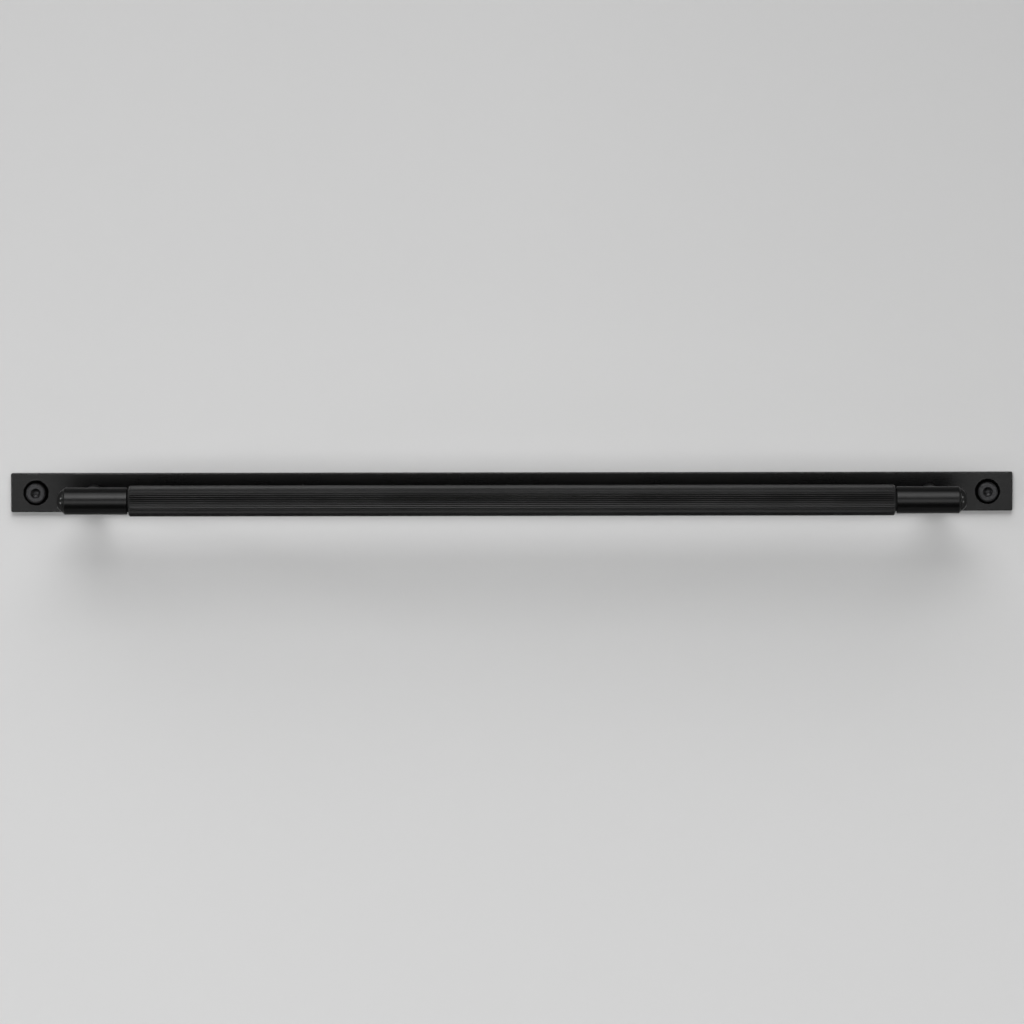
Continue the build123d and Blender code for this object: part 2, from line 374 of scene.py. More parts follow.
def shaded(obj, angle=SHARP_ANGLE, axis=2):
    """Smooth shading with the edges above that angle kept sharp. Faces square to the axis stay flat."""
    obj.data.shade_smooth()
    obj.data.set_sharp_from_angle(angle=radians(angle))
    for face in obj.data.polygons:
        if abs(face.normal[axis]) > SQUARE_ON:
            face.use_smooth = False
    return obj


def carved(obj, cutters):
    """Cuts closed meshes out of the object."""
    for cutter in cutters:
        modifier = obj.modifiers.new("cut", "BOOLEAN")
        modifier.object = cutter
        modifier.operation = "DIFFERENCE"
        modifier.solver = "EXACT"
    settled(obj)
    for cutter in cutters:
        bpy.data.objects.remove(cutter)
    return obj


def set_down(obj, origin, up, front):
    """Moves the mesh itself to its place in the frame."""
    z = Vector(up)
    x = Vector(front)
    turn = Matrix((x, z.cross(x), z)).transposed().to_4x4()
    obj.data.transform(Matrix.Translation(Vector(origin)) @ turn)
    return obj


# Geometry Nodes


def tree_of(name, sizes, build):
    """A geometry tree with named inputs for its sizes and its material."""
    tree = bpy.data.node_groups.new(name, "GeometryNodeTree")
    tree.interface.new_socket("Geometry", in_out="INPUT", socket_type="NodeSocketGeometry")
    for label in sizes:
        tree.interface.new_socket(label, in_out="INPUT", socket_type="NodeSocketFloat")
    tree.interface.new_socket("Material", in_out="INPUT", socket_type="NodeSocketMaterial")
    tree.interface.new_socket("Geometry", in_out="OUTPUT", socket_type="NodeSocketGeometry")
    sheet = Sheet(tree)
    given = tree.nodes.new("NodeGroupInput")
    wires = {output.name: Wire(sheet, output) for output in given.outputs if output.name}
    shape = build(sheet, wires)
    shape = sheet.add("GeometryNodeRealizeInstances", {}, {"Geometry": shape})
    finished = {"Geometry": shape, "Material": wires["Material"]}
    shape = sheet.add("GeometryNodeSetMaterial", {}, finished)
    sheet.add("NodeGroupOutput", {}, {"Geometry": shape})
    return tree


def worked(obj, tree, values):
    """Runs a geometry tree on the object and keeps the plain mesh."""
    modifier = obj.modifiers.new(tree.name, "NODES")
    modifier.node_group = tree
    for item in tree.interface.items_tree:
        if item.in_out == "INPUT" and item.name in values:
            modifier[item.identifier] = values[item.name]
    return settled(obj)


def round_z(sheet):
    """A point's place as numbers: x, y, z and its distance from the Z axis."""
    x, y, z = sheet.split(sheet.add("GeometryNodeInputPosition"))
    return x, y, z, (x * x + y * y).root()


def pull_in(sheet, shape, x, y, z, radius, new_radius):
    """Moves points towards the Z axis until they lie at the new radius."""
    share = new_radius / radius.most(TOUCH)
    place = sheet.point(x * share, y * share, z)
    return sheet.add("GeometryNodeSetPosition", {}, {"Geometry": shape, "Position": place})


def build_ribs(sheet, given):
    """V grooves along a turned bar, with soft crests and roots."""
    x, y, z, radius = round_z(sheet)
    pitch = given["Bar Radius"] * 2 * pi / given["Rib Count"]
    turns = y.turned_to(x) / (2 * pi) * given["Rib Count"]
    from_crest = abs((turns + 0.5).fraction() - 0.5) * pitch
    flank = (from_crest - given["Crest Width"] / 2) / given["Groove Slope"]
    deepest = (pitch - given["Crest Width"]) / 2 / given["Groove Slope"]
    drop = flank.soft_most(0.0, given["Softness"]).soft_least(deepest, given["Softness"])
    outside = abs(z) > given["Ribbed Half"]
    wanted = radius.least(given["Bar Radius"] - drop + outside * given["Bar Radius"])
    return pull_in(sheet, given["Geometry"], x, y, z, radius, wanted)


def build_thread(sheet, given):
    """A right-hand V thread on the part of a turned blank that lies between two heights."""
    x, y, z, radius = round_z(sheet)
    turns = z / given["Pitch"] - y.turned_to(x) / (2 * pi)
    from_root = abs(turns.fraction() - 0.5) * 2
    groove = from_root.rise(THREAD_ROOT_END, THREAD_CREST_START, 1.0, 0.0, smooth=False)
    lead_in = z.rise(given["Thread Bottom"], given["Thread Bottom"] + given["Pitch"])
    run_out = z.rise(given["Thread Top"], given["Thread Top"] - given["Pitch"])
    depth = given["Thread Depth"] * groove * run_out * lead_in.most(THREAD_LEAD_IN)
    outside = (z > given["Thread Top"]) + (z < given["Thread Bottom"])
    wanted = radius.least(given["Thread Radius"] - depth + outside)
    return pull_in(sheet, given["Geometry"], x, y, z, radius, wanted)


def build_socket(sheet, given):
    """A hexagon socket with a chamfered mouth and a drilled bottom, cut into the top face."""
    flats = given["Flats"]
    depth = given["Depth"]
    corner = flats / sqrt(3)
    mouth_foot = flats * MOUTH_CONE_FOOT
    drill_radius = flats * DRILL_SHARE
    drill_depth = drill_radius / tan(radians(DRILL_HALF_ANGLE))
    hexagon = sheet.add(
        "GeometryNodeMeshCylinder",
        {"fill_type": "NGON"},
        {"Vertices": 6, "Radius": corner, "Depth": depth * 2},
    )
    mouth_height = corner + given["Mouth"] - mouth_foot
    mouth = sheet.add(
        "GeometryNodeMeshCone",
        {"fill_type": "NGON"},
        {
            "Vertices": THREAD_COLUMNS,
            "Radius Bottom": mouth_foot,
            "Radius Top": corner + given["Mouth"] * 2,
            "Depth": mouth_height + given["Mouth"],
        },
    )
    drill = sheet.add(
        "GeometryNodeMeshCone",
        {"fill_type": "NGON"},
        {
            "Vertices": THREAD_COLUMNS,
            "Radius Bottom": 0.0,
            "Radius Top": drill_radius,
            "Depth": drill_depth,
        },
    )
    top = given["Top"]
    cutters = []
    for cutter, height in (
        (hexagon, top),
        (mouth, top - mouth_height),
        (drill, top - depth - drill_depth + MICRON),
    ):
        values = {"Geometry": cutter, "Translation": sheet.point(0.0, 0.0, height)}
        cutters.append(sheet.add("GeometryNodeTransform", {}, values))
    return sheet.add(
        "GeometryNodeMeshBoolean",
        {"operation": "DIFFERENCE", "solver": "EXACT"},
        {"Mesh 1": given["Geometry"], "Mesh 2": cutters},
    )


ribs = tree_of(
    "ribs",
    ["Rib Count", "Bar Radius", "Crest Width", "Groove Slope", "Softness", "Ribbed Half"],
    build_ribs,
)
thread = tree_of(
    "thread",
    ["Pitch", "Thread Radius", "Thread Depth", "Thread Bottom", "Thread Top"],
    build_thread,
)
socket = tree_of("socket", ["Flats", "Depth", "Mouth", "Top"], build_socket)


# Finishes. Each has its darkest and lightest grey, then its roughness, the sizes of its marks, the
# share of wear that shows, and the height of its relief

PLATE_DARK, PLATE_LIGHT, PLATE_ROUGHNESS = 0.0005, 0.0020, 0.29
PLATE_SPECULAR = 0.145
PLATE_GRAIN = 0.11 * MM
PLATE_GROUND = 0.16 * MM
PLATE_GROUND_STRETCH = 0.02  # along the plate
PLATE_CLOUDS = 22 * MM
PLATE_HANDLED = 3.5 * MM
PLATE_WEAR_WIDTH = 0.25 * MM
PLATE_WEAR_PATCHES = 1.2 * MM
PLATE_WEAR = 0.55
PLATE_RELIEF = 4 * MICRON

GRIP_DARK, GRIP_LIGHT, GRIP_ROUGHNESS = 0.0005, 0.0022, 0.35
GRIP_DRAWN = 0.08 * MM
GRIP_DRAWN_STRETCH = 0.03  # along the bar
GRIP_GRAIN = 0.10 * MM
GRIP_HANDLED = 9 * MM
GRIP_HANDLED_STRETCH = 0.35
GRIP_WEAR = 0.45
GRIP_NECK_DULLNESS = 0.45
GRIP_RELIEF = 2.5 * MICRON

SLEEVE_DARK, SLEEVE_LIGHT, SLEEVE_ROUGHNESS = 0.0145, 0.0195, 0.33
SLEEVE_GRAZING = 0.62
SLEEVE_TURNED = 0.07 * MM
SLEEVE_FEED = 0.8 * MM
SLEEVE_GRAIN = 0.09 * MM
SLEEVE_HANDLED = 6 * MM
SLEEVE_WEAR_PATCHES = 0.9 * MM
SLEEVE_WEAR = 0.2
SLEEVE_RELIEF = 1.6 * MICRON

POST_ROUGHNESS = 0.40
POST_TURNED = 0.09 * MM
POST_GRAIN = 0.10 * MM
POST_HANDLED = 5 * MM
POST_WEAR_PATCHES = 0.8 * MM
POST_WEAR = 0.4
POST_RELIEF = 2.5 * MICRON

GLOSS_DARK, GLOSS_LIGHT, GLOSS_ROUGHNESS = 0.022, 0.030, 0.12
GLOSS_GRAZING = 0.5
GLOSS_RINGS = 0.06 * MM
GLOSS_HANDLED = 1.6 * MM
GLOSS_WEAR_WIDTH = 0.15 * MM
GLOSS_WEAR_PATCHES = 0.5 * MM
GLOSS_WEAR = 0.3
GLOSS_RELIEF = 0.5 * MICRON

OXIDE_DARK = (0.018, 0.018, 0.019, 1.0)
OXIDE_LIGHT = (0.036, 0.036, 0.037, 1.0)
OXIDE_WORN = (0.09, 0.09, 0.09, 1.0)
OXIDE_ROUGHNESS = 0.38
OXIDE_RINGS = 0.09 * MM
OXIDE_MOTTLE = 0.7 * MM
OXIDE_GRAIN = 0.06 * MM
OXIDE_WEAR_PATCHES = 0.5 * MM
OXIDE_WEAR = 0.4
OXIDE_RELIEF = 1.5 * MICRON

WORN = (0.045, 0.045, 0.045, 1.0)
SPECULAR = 0.20


def finish_of(name, build):
    """A material from a function that returns its shader."""
    material = bpy.data.materials.new(name)
    material.use_nodes = True
    material.node_tree.nodes.clear()
    sheet = Sheet(material.node_tree)
    sheet.add("ShaderNodeOutputMaterial", {}, {"Surface": build(sheet)})
    return material


def object_place(sheet, centre=(0.0, 0.0, 0.0), stretch=(1.0, 1.0, 1.0)):
    """Object coordinates, measured from a centre and stretched."""
    place = sheet.add("ShaderNodeTexCoord", {}, {}, out="Object")
    shift = tuple(-c * s for c, s in zip(centre, stretch))
    return sheet.add("ShaderNodeMapping", {}, {"Vector": place, "Location": shift, "Scale": stretch})


def speckle(sheet, place, size, detail=2.0, roughness=0.5):
    """Noise from 0 to 1 with features of about that size."""
    values = {"Vector": place, "Scale": 1 / size, "Detail": detail, "Roughness": roughness}
    return sheet.add("ShaderNodeTexNoise", {"noise_dimensions": "3D"}, values)


def lines(sheet, along, size, detail=2.0):
    """Noise from 0 to 1 that depends on one number only, as marks left by turning do."""
    values = {"W": along, "Scale": 1 / size, "Detail": detail}
    return sheet.add("ShaderNodeTexNoise", {"noise_dimensions": "1D"}, values)


def coat(sheet, colour, roughness, height, relief, metal=0.0, specular=SPECULAR, grazing=1.0):
    """The shader of a coated or oxidised surface. relief is the height of its marks, and grazing the
    share of a metallic surface's reflection that is left near its outline."""
    bump = sheet.add("ShaderNodeBump", {}, {"Strength": 1.0, "Distance": relief, "Height": height})
    values = {
        "Base Color": colour,
        "Roughness": roughness,
        "Metallic": metal,
        "Specular IOR Level": specular,
        "Specular Tint": (grazing, grazing, grazing, 1.0),
        "Normal": bump,
    }
    return sheet.add("ShaderNodeBsdfPrincipled", {}, values, out="BSDF")


def build_plate_finish(sheet):
    """Satin black over lengthwise ground steel, thinner along the edges."""
    place = object_place(sheet)
    x, y, z = sheet.split(place)
    half = plate_high
    to_end = abs(x) - (half.x - EDGE_RADIUS)
    to_side = abs(z) - (half.z - EDGE_RADIUS)
    from_screw_x = abs(x) - FIXING_X
    to_rim = RECESS_RADIUS - (from_screw_x * from_screw_x + z * z).root()
    near_edge = to_end.most(to_side).rise(-PLATE_WEAR_WIDTH, 0.1 * MM)
    front = y.rise(0.6 * MM - PLATE_THICKNESS, 0.2 * MM - PLATE_THICKNESS)
    near_rim = abs(to_rim + 0.1 * MM).rise(PLATE_WEAR_WIDTH, 0.05 * MM) * front
    patches = speckle(sheet, place, PLATE_WEAR_PATCHES, 4.0).rise(0.35, 0.7)
    wear = near_edge.most(near_rim) * patches
    grain = speckle(sheet, place, PLATE_GRAIN, 3.0, 0.6)
    lengthwise = object_place(sheet, stretch=(PLATE_GROUND_STRETCH, 1.0, 1.0))
    ground = speckle(sheet, lengthwise, PLATE_GROUND, 3.0, 0.7)
    clouds = speckle(sheet, place, PLATE_CLOUDS, 3.0)
    handled = speckle(sheet, place, PLATE_HANDLED, 4.0, 0.6)
    colour = sheet.shades(grain * 0.6 + ground * 0.4, PLATE_DARK, PLATE_LIGHT)
    colour = sheet.tint(wear * PLATE_WEAR, colour, WORN)
    roughness = PLATE_ROUGHNESS + (clouds - 0.5) * 0.12 + (handled - 0.5) * 0.06 + (ground - 0.5) * 0.10
    relief = grain * 0.5 + ground * 0.7
    return coat(sheet, colour, roughness - wear * 0.08, relief, PLATE_RELIEF, specular=PLATE_SPECULAR)


def build_grip_finish(sheet):
    """Satin black on straight-cut ribs, polished on the crests, duller in the grooves and on the necks."""
    axis = (0.0, BAR_Y, 0.0)
    place = object_place(sheet, axis)
    x, y, z = sheet.split(place)
    radius = (y * y + z * z).root()
    crest = radius.rise(GRIP_RADIUS - 0.07 * MM, GRIP_RADIUS - 0.01 * MM)
    groove = radius.rise(GRIP_RADIUS - 0.16 * MM, GRIP_RADIUS - 0.27 * MM)
    end = (abs(x) - (GRIP_HALF - GRIP_CHAMFER)).rise(-0.2 * MM, 0.1 * MM)
    drawn_place = object_place(sheet, axis, (GRIP_DRAWN_STRETCH, 1.0, 1.0))
    drawn = speckle(sheet, drawn_place, GRIP_DRAWN, 3.0, 0.6)
    grain = speckle(sheet, place, GRIP_GRAIN, 2.0)
    handled_place = object_place(sheet, axis, (GRIP_HANDLED_STRETCH, 1.0, 1.0))
    handled = speckle(sheet, handled_place, GRIP_HANDLED, 4.0, 0.6)
    wear = crest.most(end) * handled.rise(0.35, 0.75)
    colour = sheet.shades(grain * 0.5 + drawn * 0.5, GRIP_DARK, GRIP_LIGHT)
    colour = sheet.tint(wear * GRIP_WEAR, colour, WORN)
    neck = (abs(x) - GRIP_HALF).rise(-0.06 * MM, 0.0)
    roughness = GRIP_ROUGHNESS + groove * 0.14 - crest * 0.05 + (handled - 0.5) * 0.12 + (drawn - 0.5) * 0.08
    roughness = roughness + neck * GRIP_NECK_DULLNESS
    return coat(sheet, colour, roughness, grain * 0.4 + drawn * 0.6, GRIP_RELIEF)


def build_sleeve_finish(sheet):
    """Semi-gloss black over fine turning marks, its sheen darker near the outline."""
    place = object_place(sheet, (0.0, BAR_Y, 0.0))
    x, y, z = sheet.split(place)
    from_middle = abs(abs(x) - SLEEVE_X)
    half = SLEEVE_LENGTH / 2
    end = from_middle.rise(half - 0.9 * MM, half - 0.1 * MM)
    fine = lines(sheet, x, SLEEVE_TURNED, 3.0)
    feed = lines(sheet, x, SLEEVE_FEED, 1.0)
    grain = speckle(sheet, place, SLEEVE_GRAIN, 2.0)
    handled = speckle(sheet, place, SLEEVE_HANDLED, 4.0, 0.6)
    wear = end * speckle(sheet, place, SLEEVE_WEAR_PATCHES, 4.0).rise(0.42, 0.75)
    colour = sheet.shades(fine * 0.5 + grain * 0.5, SLEEVE_DARK, SLEEVE_LIGHT)
    colour = sheet.tint(wear * SLEEVE_WEAR, colour, WORN)
    roughness = SLEEVE_ROUGHNESS + (fine - 0.5) * 0.10 + (handled - 0.5) * 0.10 + (feed - 0.5) * 0.05
    relief = fine * 0.6 + grain * 0.3 + feed * 0.4
    return coat(sheet, colour, roughness, relief, SLEEVE_RELIEF, metal=1.0, grazing=SLEEVE_GRAZING)


def build_post_finish(sheet):
    """Satin black over turning marks round the post."""
    place = object_place(sheet)
    x, y, z = sheet.split(place)
    fine = lines(sheet, y, POST_TURNED, 3.0)
    grain = speckle(sheet, place, POST_GRAIN, 2.0)
    handled = speckle(sheet, place, POST_HANDLED, 4.0, 0.6)
    foot = y.rise(-PLATE_THICKNESS - 1.0 * MM, -PLATE_THICKNESS)
    wear = foot * speckle(sheet, place, POST_WEAR_PATCHES, 4.0).rise(0.45, 0.75)
    colour = sheet.shades(fine * 0.5 + grain * 0.5, GRIP_DARK, GRIP_LIGHT)
    colour = sheet.tint(wear * POST_WEAR, colour, WORN)
    roughness = POST_ROUGHNESS + (fine - 0.5) * 0.10 + (handled - 0.5) * 0.12
    return coat(sheet, colour, roughness, fine * 0.6 + grain * 0.4, POST_RELIEF)


def build_end_screw_finish(sheet):
    """Gloss black on the domed heads, with faint rings from the lathe."""
    place = object_place(sheet, (0.0, BAR_Y, 0.0))
    x, y, z = sheet.split(place)
    radius = (y * y + z * z).root()
    rings = lines(sheet, radius, GLOSS_RINGS, 2.0)
    handled = speckle(sheet, place, GLOSS_HANDLED, 4.0, 0.6)
    rim = radius.rise(END_HEAD_RADIUS - GLOSS_WEAR_WIDTH, END_HEAD_RADIUS)
    wear = rim * speckle(sheet, place, GLOSS_WEAR_PATCHES, 3.0).rise(0.45, 0.75)
    colour = sheet.shades(handled, GLOSS_DARK, GLOSS_LIGHT)
    colour = sheet.tint(wear * GLOSS_WEAR, colour, WORN)
    roughness = GLOSS_ROUGHNESS + (handled - 0.5) * 0.08 + (rings - 0.5) * 0.05 + wear * 0.1
    return coat(sheet, colour, roughness, rings, GLOSS_RELIEF, metal=1.0, grazing=GLOSS_GRAZING)


def build_oxide_finish(sheet, axis_x, reach):
    """Black oxide on a screw whose axis lies across the plate, with rings on its face."""
    place = object_place(sheet)
    x, y, z = sheet.split(place)
    across = abs(x) - axis_x
    radius = (across * across + z * z).root()
    rings = lines(sheet, radius, OXIDE_RINGS, 2.0)
    mottle = speckle(sheet, place, OXIDE_MOTTLE, 5.0, 0.65)
    grain = speckle(sheet, place, OXIDE_GRAIN, 2.0)
    rim = abs(radius - reach + FIXING_HEAD_CHAMFER).rise(0.16 * MM, 0.02 * MM)
    wear = rim * speckle(sheet, place, OXIDE_WEAR_PATCHES, 4.0).rise(0.45, 0.75)
    oxide = sheet.tint(mottle.rise(0.3, 0.7), OXIDE_DARK, OXIDE_LIGHT)
    colour = sheet.tint(wear * OXIDE_WEAR, oxide, OXIDE_WORN)
    roughness = OXIDE_ROUGHNESS + (mottle - 0.5) * 0.16 + (rings - 0.5) * 0.08
    return coat(sheet, colour, roughness, rings * 0.5 + grain * 0.5, OXIDE_RELIEF, metal=1.0)


plate_finish = finish_of("satin_black_plate", build_plate_finish)
grip_finish = finish_of("satin_black_ribs", build_grip_finish)
sleeve_finish = finish_of("semi_gloss_black_sleeve", build_sleeve_finish)
post_finish = finish_of("satin_black_post", build_post_finish)
end_screw_finish = finish_of("gloss_black_end_screw", build_end_screw_finish)
post_screw_finish = finish_of(
    "black_oxide_post_screw",
    lambda sheet: build_oxide_finish(sheet, POST_X, POST_SCREW_HEAD_RADIUS),
)
fixing_screw_finish = finish_of(
    "black_oxide_fixing_screw",
    lambda sheet: build_oxide_finish(sheet, FIXING_X, FIXING_HEAD_RADIUS),
)


# Backplate


def plate_outline(bm, inset, y):
    """A loop of vertices round the plate, that far inside its outline."""
    corner = max(CORNER_RADIUS - inset, LEAST_CORNER)
    reach_x = plate_high.x - inset - corner
    reach_z = plate_high.z - inset - corner
    loop = []
    for quarter, (side_x, side_z) in enumerate(((1, 1), (-1, 1), (-1, -1), (1, -1))):
        for step in range(CORNER_STEPS + 1):
            a = (quarter + step / CORNER_STEPS) * pi / 2
            x = side_x * reach_x + corner * cos(a)
            loop.append(bm.verts.new((x, y, side_z * reach_z + corner * sin(a))))
    return loop


def ring(bm, x, radius, y):
    """A loop of vertices round an axis across the plate."""
    angles = even_columns(TURNED_COLUMNS)
    return [bm.verts.new((x + radius * cos(a), y, radius * sin(a))) for a in angles]


def bridged(bm, loops):
    """Walls between one loop and the next."""
    for low, high in zip(loops, loops[1:]):
        for i in range(len(low)):
            after = (i + 1) % len(low)
            bm.faces.new((low[i], low[after], high[after], high[i]))


def filled(bm, loops):
    """A flat face inside the first loop and outside the others."""
    edges = []
    for loop in loops:
        for i, vertex in enumerate(loop):
            edges.append(bm.edges.get((vertex, loop[(i + 1) % len(loop)])))
    bmesh.ops.triangle_fill(bm, edges=edges, use_beauty=True)


def build_backplate():
    """The flat plate, its front edges rounded, with its conical recesses and countersinks."""
    bm = bmesh.new()
    front = plate_low.y
    back = plate_high.y
    sides = []
    for step in range(EDGE_STEPS + 1):
        a = step / EDGE_STEPS * pi / 2
        inset = EDGE_RADIUS * (1 - sin(a))
        sides.append(plate_outline(bm, inset, front + EDGE_RADIUS * (1 - cos(a))))
    sides.append(plate_outline(bm, 0.0, back - BACK_BREAK))
    sides.append(plate_outline(bm, BACK_BREAK, back))
    bridged(bm, sides)
    front_loops = [sides[0]]
    back_loops = [sides[-1]]
    for side in SIDES.values():
        x = side * FIXING_X
        bore = [
            ring(bm, x, RECESS_RADIUS + RECESS_BREAK, front),
            ring(bm, x, RECESS_RADIUS + RECESS_BREAK * 0.15, front + RECESS_BREAK * 0.35),
            ring(bm, x, RECESS_RADIUS - RECESS_BREAK, front + RECESS_BREAK),
            ring(bm, x, RECESS_RADIUS - PLATE_THICKNESS, back),
        ]
        bridged(bm, bore)
        front_loops.append(bore[0])
        back_loops.append(bore[-1])
        cone = COUNTERSINK_RADIUS - POST_HOLE_RADIUS
        sink = [
            ring(bm, side * POST_X, POST_HOLE_RADIUS, front),
            ring(bm, side * POST_X, POST_HOLE_RADIUS, back - cone),
            ring(bm, side * POST_X, COUNTERSINK_RADIUS, back),
        ]
        bridged(bm, sink)
        front_loops.append(sink[0])
        back_loops.append(sink[-1])
    filled(bm, front_loops)
    filled(bm, back_loops)
    bmesh.ops.recalc_face_normals(bm, faces=bm.faces)
    mesh = bpy.data.meshes.new("backplate_body")
    bm.to_mesh(mesh)
    bm.free()
    obj = shaded(linked("backplate_body", mesh), PLATE_SHARP_ANGLE, axis=1)
    obj.data.materials.append(plate_finish)
    return obj


# Turned pieces, each made standing on Z and then set down in the frame


def mirrored_profile(half):
    """A profile for both ends of the bar from the one for its positive end."""
    return [(-corner[0], *corner[1:]) for corner in reversed(half)] + half


def build_grip():
    """The ribbed bar with its necks and spigots, tapped at both ends and crosswise for the studs."""
    bottom = SPIGOT_TIP - END_TAPPED_DEPTH
    half = [
        (GRIP_HALF - GRIP_CHAMFER - GRIP_END_BAND, GRIP_RADIUS),
        (GRIP_HALF - GRIP_CHAMFER, GRIP_RADIUS),
    ]
    for step in range(1, GRIP_CHAMFER_STEPS + 1):
        part = step / GRIP_CHAMFER_STEPS
        half.append((GRIP_HALF - GRIP_CHAMFER * (1 - part), GRIP_RADIUS - GRIP_CHAMFER * part))
    half += softened([
        (GRIP_HALF, GRIP_RADIUS - GRIP_CHAMFER - 0.02 * MM),
        (GRIP_HALF, NECK_RADIUS, 0.08 * MM),
        (NECK_END, NECK_RADIUS, 0.05 * MM),
        (NECK_END, SPIGOT_RADIUS, 0.05 * MM),
        (SPIGOT_TIP - SPIGOT_CHAMFER, SPIGOT_RADIUS),
        (SPIGOT_TIP, SPIGOT_RADIUS - SPIGOT_CHAMFER),
        (SPIGOT_TIP, END_TAPPED_RADIUS),
        (bottom, END_TAPPED_RADIUS),
        (bottom - DRILL_POINT, 0.0),
    ])
    grip = turned("grip_body", mirrored_profile(half), rib_columns())
    values = {
        "Rib Count": RIB_COUNT,
        "Bar Radius": GRIP_RADIUS,
        "Crest Width": RIB_CREST,
        "Groove Slope": tan(radians(RIB_GROOVE_ANGLE / 2)),
        "Softness": RIB_SOFTNESS,
        "Ribbed Half": GRIP_HALF + TOUCH,
        "Material": grip_finish,
    }
    worked(grip, ribs, values)
    tapped_floor = SEAT_PLANE - STUD_LENGTH - STUD_TIP_CLEARANCE
    drills = []
    for side in SIDES.values():
        drills.append(cross_drill(STUD_TAPPED_RADIUS, -GRIP_RADIUS, -tapped_floor, side * POST_X))
    carved(grip, drills)
    return set_down(shaded(grip), (0.0, BAR_Y, 0.0), (1, 0, 0), (0, -1, 0))


def cross_drill(radius, start, end, height):
    """A cutter along X, between two places on it and at a height on Z."""
    profile = [(start, 0.0), (start, radius), (end, radius), (end, 0.0)]
    cutter = turned("cutter", profile, even_columns(DRILL_COLUMNS))
    turn = Matrix.Rotation(pi / 2, 4, "Y")
    cutter.data.transform(Matrix.Translation((0.0, 0.0, height)) @ turn)
    return cutter


def build_sleeve(name, side):
    """A smooth tube, its outer end chamfered, with a flat seat at the back for the post."""
    half = SLEEVE_LENGTH / 2
    section = softened([
        (-half, BORE_RADIUS + BORE_CHAMFER),
        (-half, SLEEVE_RADIUS - SLEEVE_INNER_CHAMFER, 0.05 * MM),
        (-half + SLEEVE_INNER_CHAMFER, SLEEVE_RADIUS, 0.05 * MM),
        (half - SLEEVE_OUTER_CHAMFER, SLEEVE_RADIUS, 0.12 * MM),
        (half, SLEEVE_RADIUS - SLEEVE_OUTER_CHAMFER, 0.08 * MM),
        (half, BORE_RADIUS + BORE_CHAMFER),
        (half - BORE_CHAMFER, BORE_RADIUS),
        (-half + BORE_CHAMFER, BORE_RADIUS),
    ], closed=True)
    sleeve = turned(f"{name}_sleeve_body", section, even_columns(TURNED_COLUMNS), closed=True)
    sleeve.data.materials.append(sleeve_finish)
    outside = SLEEVE_RADIUS * CUTTER_REACH
    cutters = [
        cross_drill(POST_RADIUS + SEAT_CLEARANCE, -outside, -SEAT_PLANE, POST_X - SLEEVE_X),
        cross_drill(STUD_HOLE_RADIUS, -outside, 0.0, POST_X - SLEEVE_X),
    ]
    carved(sleeve, cutters)
    return set_down(shaded(sleeve), (side * SLEEVE_X, BAR_Y, 0.0), (side, 0, 0), (0, -1, 0))


def thread_rings(start, end, pitch, radius):
    """Profile points close enough together to carry a thread."""
    count = max(2, round(abs(end - start) / pitch * THREAD_RINGS_PER_PITCH))
    return [(start + (end - start) * i / count, radius) for i in range(count + 1)]


def build_post(name, side):
    """A turned post. Its stud goes up through the sleeve into the spigot, and its foot is tapped."""
    seat = -BAR_Y - SEAT_PLANE
    tip = seat + STUD_LENGTH
    bottom = PLATE_THICKNESS + POST_TAPPED_DEPTH
    profile = softened([
        (bottom + DRILL_POINT, 0.0),
        (bottom, POST_TAPPED_RADIUS),
        (PLATE_THICKNESS + POST_TAPPED_CHAMFER, POST_TAPPED_RADIUS),
        (PLATE_THICKNESS, POST_TAPPED_RADIUS + POST_TAPPED_CHAMFER),
        (PLATE_THICKNESS, POST_RADIUS - POST_FOOT_CHAMFER, 0.06 * MM),
        (PLATE_THICKNESS + POST_FOOT_CHAMFER, POST_RADIUS, 0.06 * MM),
        (seat, POST_RADIUS, 0.1 * MM),
        (seat, STUD_RADIUS),
    ])
    profile += thread_rings(seat + 0.01 * MM, tip - STUD_TIP_CHAMFER, M4_PITCH, STUD_RADIUS)
    profile += [(tip, STUD_RADIUS - STUD_TIP_CHAMFER), (tip, 0.0)]
    post = turned(f"{name}_post_body", profile, even_columns(TURNED_COLUMNS))
    values = {
        "Pitch": M4_PITCH,
        "Thread Radius": STUD_RADIUS,
        "Thread Depth": M4_PITCH * THREAD_DEPTH_PER_PITCH,
        "Thread Bottom": seat + STUD_THREAD_START,
        "Thread Top": tip + M4_PITCH,
        "Material": post_finish,
    }
    worked(post, thread, values)
    return set_down(shaded(post), (side * POST_X, 0.0, 0.0), (0, -1, 0), (1, 0, 0))


def cut_screw(name, head, reach, thread_radius, thread_start, pitch, socket_sizes, material):
    """A screw standing on Z, its head above the origin and its thread below. head is its profile from
    the middle of its face down to the shank, and the socket's sizes are flats, depth and face height."""
    flats, depth, top = socket_sizes
    start = -thread_start
    end = -reach + SCREW_TIP_CHAMFER
    profile = head + thread_rings(start, end, pitch, thread_radius)
    profile += [(-reach, thread_radius - SCREW_TIP_CHAMFER), (-reach, 0.0)]
    screw = turned(name, profile, even_columns(THREAD_COLUMNS))
    values = {
        "Pitch": pitch,
        "Thread Radius": thread_radius,
        "Thread Depth": pitch * THREAD_DEPTH_PER_PITCH,
        "Thread Bottom": -reach - pitch,
        "Thread Top": start,
        "Material": material,
    }
    worked(screw, thread, values)
    values = {"Flats": flats, "Depth": depth, "Mouth": SOCKET_MOUTH, "Top": top, "Material": material}
    worked(screw, socket, values)
    return shaded(screw)


